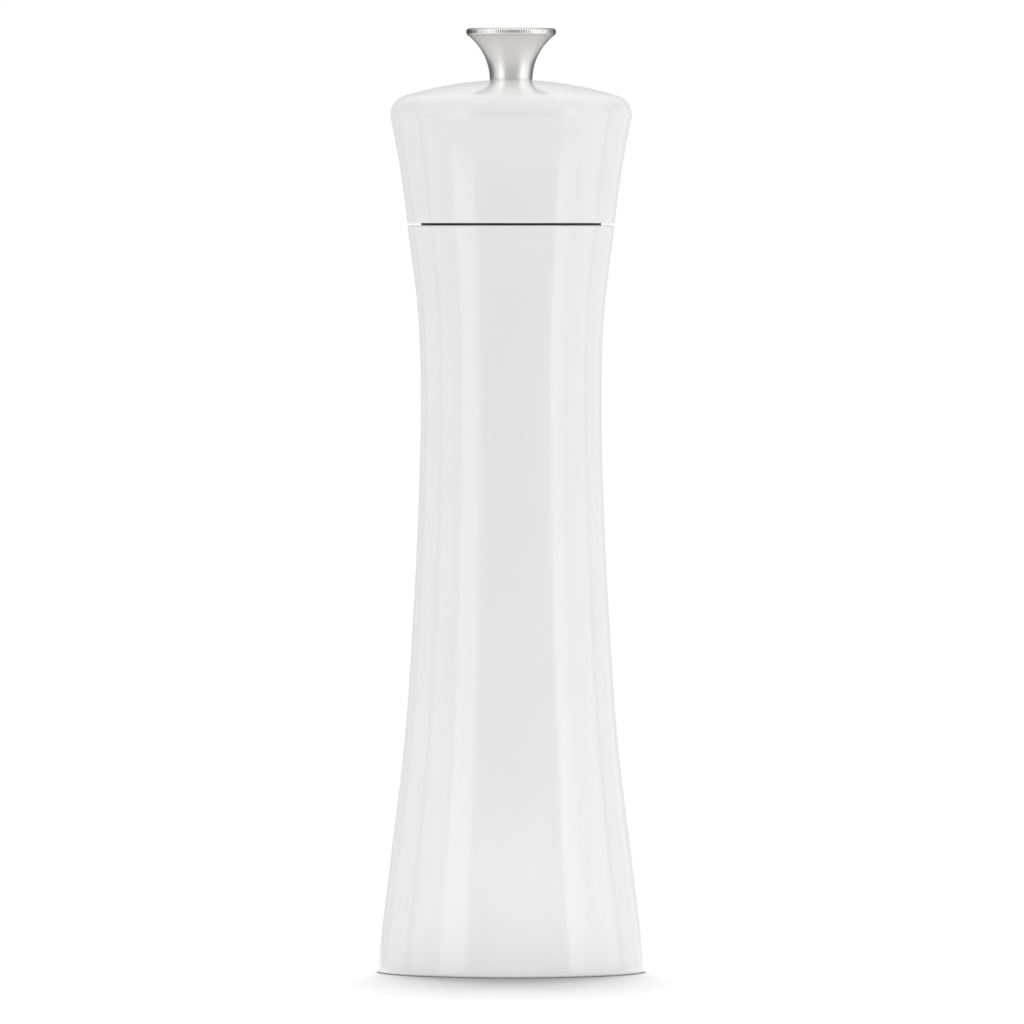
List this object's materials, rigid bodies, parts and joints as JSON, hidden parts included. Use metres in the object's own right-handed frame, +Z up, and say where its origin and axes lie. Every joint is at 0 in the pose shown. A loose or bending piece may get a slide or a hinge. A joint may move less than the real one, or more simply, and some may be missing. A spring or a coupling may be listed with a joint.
{
  "type": "pepper mill",
  "caption": "Tall waisted hand pepper mill with a white body and domed head, a knurled steel grind knob on top and a ceramic burr set in its base.",
  "frame": {"origin": "centre of the base, on the surface that the mill stands on", "axes": "+Z up along the shaft, through the knob; X and Y lie on the table, and -Y is the side that was viewed"},
  "size_m": [0.06, 0.0598, 0.2098],
  "materials": {
    "white_gloss": "gloss",
    "black_plastic": "satin",
    "dark_nylon": "satin",
    "natural_acetal": "satin",
    "burr_ceramic": "matt",
    "knob_steel": "spin brushed",
    "shaft_steel": "drawn, satin",
    "plate_steel": "brushed",
    "spring_steel": "satin",
    "screw_steel": "zinc plated"
  },
  "bodies": {
    "body": {"body_shell": "white_gloss", "mouth_collar": "black_plastic", "grinder_housing": "dark_nylon", "housing_screws": "screw_steel", "stator_burr": "burr_ceramic", "stator_lock_ring": "dark_nylon"},
    "drive_bush": {"drive_bush": "natural_acetal", "thrust_washer": "natural_acetal", "spring": "spring_steel"},
    "shaft": {"drive_shaft": "shaft_steel", "stop_clip": "spring_steel", "rotor_carrier": "dark_nylon", "spring_seat_washer": "screw_steel", "rotor_burr": "burr_ceramic", "rotor_washer": "screw_steel", "rotor_nut": "screw_steel"},
    "head": {"head_shell": "white_gloss", "head_core": "black_plastic", "core_screws": "screw_steel", "drive_plate": "plate_steel", "drive_plate_screws": "screw_steel"},
    "knob_washer": {"knob_washer": "natural_acetal"},
    "knob": {"knob": "knob_steel"}
  },
  "joints": [
    {"name": "mill_turn", "type": "hinge", "parent": "body", "child": "drive_bush", "pos_m": [0, 0, 0.032], "axis": [0, 0, 1], "continuous": true},
    {"name": "grind_shift", "type": "slide", "parent": "drive_bush", "child": "shaft", "axis": [0, 0, 1], "range_m": [0, 0.0016], "deforming": ["spring"]},
    {"name": "head_lift", "type": "slide", "parent": "drive_bush", "child": "head", "axis": [0, 0, 1], "range_m": [0, 0.06]},
    {"name": "knob_turn", "type": "hinge", "parent": "head", "child": "knob_washer", "pos_m": [0, 0, 0.198], "axis": [0, 0, 1], "range_deg": [-720, 0]},
    {"name": "knob_lift", "type": "slide", "parent": "knob_washer", "child": "knob", "axis": [0, 0, 1], "range_m": [0, 0.014]}
  ],
  "couplings": [
    {"joint": "knob_turn", "follows": "grind_shift", "rad_per_m": -7854}
  ]
}
